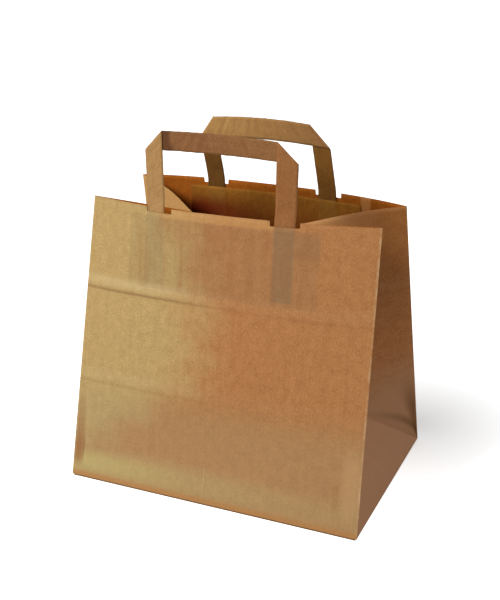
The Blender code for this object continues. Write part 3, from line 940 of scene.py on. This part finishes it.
def patch_rows(handle, shift, seed):
    """Rows over the patch from its lower edge up, at their depths inside the panel."""
    half = PATCH_WIDTH / 2
    top = PANEL_HEIGHT - PATCH_DROP
    leg_middle = handle.outer - LEG_WIDTH / 2
    rows = []
    for height in spread(top - PATCH_HEIGHT, top, PATCH_ROW_STEP):
        row = []
        for across in spread(shift - half, shift + half, PATCH_STEP):
            off_leg = abs(abs(across - handle.shift) - leg_middle) - LEG_WIDTH / 2 - GLUE_GAP
            over_leg = 1 - smooth(off_leg, 0, PATCH_RAMP)
            cockle = PATCH_COCKLE * (1 + swell(across, height / 5, 7 * MM, seed))
            depth = GLUE_GAP + (STRIP + LAYERS * 2) * over_leg + cockle
            row.append((handle.panel.inside(across, height, depth), across, height))
        rows.append(row)
    return rows


def kraft_patch():
    """Thin kraft patch, dull, yellower over the legs, darker with painted shade low down, and with a red
    painted shadow low on its left.
    """
    material, shader = kraft_paper("kraft_patch", 0.8, 0.1)
    place, across, height = sheet_place(material)
    colour = kraft(material, place, "#A0661E", "#885214", "#AC7632")
    colour = inside_painted_shade(material, colour, height)
    for side in (-1, 1):
        middle = BACK_HANDLE.shift + side * (BACK_HANDLE.outer - LEG_WIDTH / 2)
        leg = within(material, across, middle, LEG_WIDTH / 2, 3 * MM)
        colour = stained(material, colour, "#A08040", 0.15, leg)
    # Painted shadow: dark red low on the patch, most on its left, where the left gusset shades the back.
    dark_smudge = fading(material, height, 225 * MM, 245 * MM, course="SMOOTHSTEP")
    dark_smudge = fading(material, across, -75 * MM, 5 * MM, dark_smudge, 0.118, "SMOOTHSTEP")
    colour = stained(material, colour, "#641402", 0.85, dark_smudge)
    surface(material, shader, place, colour, 0.5)
    return material


PATCH_KRAFT = kraft_patch()

for name, handle, shift, seed in (
    ("front_patch_sheet", FRONT_HANDLE, PATCH_SHIFTS[0], 23.1),
    ("back_patch_sheet", BACK_HANDLE, PATCH_SHIFTS[1], 29.7),
):
    patch = sheet_object(name, [patch_rows(handle, shift, seed)], PATCH_PAPER, [PATCH_KRAFT])
    patch.modifiers["paper"].offset = -handle.panel.outward
    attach(patch, "root")
    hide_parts(name.replace("_sheet", ""))


# The camera stands to the right of the bag's front, tilted a little, and looks down on it. Its place
# and its angle of view are those at which the bag's own corners look as they do in the picture.
AZIMUTH = math.radians(25.91)
ELEVATION = math.radians(21.04)
ROLL = math.radians(-2.26)
DISTANCE = 0.8537
TARGET = Vector((0.0081, 0, 0.1618))
FOCUS_PIXELS = 957.2
PICTURE_HEIGHT = 600

back = Vector((math.sin(AZIMUTH), -math.cos(AZIMUTH), math.tan(ELEVATION))).normalized()
eye = bpy.data.cameras.new("camera")
eye.sensor_fit = "VERTICAL"
eye.lens = FOCUS_PIXELS / PICTURE_HEIGHT * eye.sensor_height
camera = bpy.data.objects.new("camera", eye)
bpy.context.scene.collection.objects.link(camera)
turned = back.to_track_quat("Z", "Y").to_matrix().to_4x4() @ Matrix.Rotation(ROLL, 4, "Z")
camera.matrix_world = Matrix.Translation(TARGET + back * DISTANCE) @ turned
bpy.context.scene.camera = camera


# The studio: a white floor that keeps a soft shadow, a large soft lamp to the front and left, and a
# weaker one on the right. The floor gives off light, and the world is fully white, only to the camera.
# The floor's glow is dimmed round the shadow's middle, which paints in part of that shadow.
FLOOR_SIZE = 12
SHADOW_MIDDLE = Vector((0.127, 0.124, 0))
NEAR_FLOOR = 0.005
FAR_FLOOR = 0.176
SHADOW_WHITE = 0.34
WORLD_LIGHT = 0.28


def studio_floor():
    """Matt white floor: to the camera it gives off white light, less so near the shadow's middle, which
    paints in part of the shadow beside the lamps' real one.
    """
    material = bpy.data.materials.new("white_floor")
    material.use_nodes = True
    tree = material.node_tree
    shader = tree.nodes["Principled BSDF"]
    shader.inputs["Base Color"].default_value = (0.8, 0.8, 0.8, 1)
    shader.inputs["Roughness"].default_value = 0.9
    shader.inputs["Emission Color"].default_value = (1, 1, 1, 1)
    where = add_node(material, "TexCoord", {}).outputs["Object"]
    far = add_node(material, "VectorMath", {0: where, 1: SHADOW_MIDDLE}, operation="DISTANCE")
    seen = add_node(material, "LightPath", {}).outputs["Is Camera Ray"]
    white = fading(material, far.outputs["Value"], FAR_FLOOR, NEAR_FLOOR, seen, SHADOW_WHITE)
    tree.links.new(white, shader.inputs["Emission Strength"])
    return material


bm = bmesh.new()
bmesh.ops.create_grid(bm, x_segments=1, y_segments=1, size=FLOOR_SIZE)
floor_mesh = bpy.data.meshes.new("floor")
bm.to_mesh(floor_mesh)
bm.free()
floor_mesh.materials.append(studio_floor())
floor = bpy.data.objects.new("floor", floor_mesh)
bpy.context.scene.collection.objects.link(floor)


def soft_lamp(name, place, size, power):
    """A round lamp, this wide in metres, that points at the bag."""
    light = bpy.data.lights.new(name, "AREA")
    light.shape = "DISK"
    light.size = size
    light.energy = power
    lamp = bpy.data.objects.new(name, light)
    bpy.context.scene.collection.objects.link(lamp)
    aim = (place - TARGET).to_track_quat("Z", "Y").to_matrix().to_4x4()
    lamp.matrix_world = Matrix.Translation(place) @ aim


soft_lamp("key", Vector((-0.75, -1.35, 1.25)), 0.7, 26)
soft_lamp("fill", Vector((1.5, 0.1, 1.7)), 1.2, 9)

world = bpy.data.worlds.new("studio")
world.use_nodes = True
air = world.node_tree
sky = air.nodes["Background"]
sky.inputs["Color"].default_value = (1, 1, 1, 1)
rays = air.nodes.new("ShaderNodeLightPath")
level = air.nodes.new("ShaderNodeMapRange")
level.inputs["To Min"].default_value = WORLD_LIGHT
level.inputs["To Max"].default_value = 1.0
air.links.new(rays.outputs["Is Camera Ray"], level.inputs["Value"])
air.links.new(level.outputs[0], sky.inputs["Strength"])
bpy.context.scene.world = world
bpy.context.scene.view_settings.view_transform = "Standard"
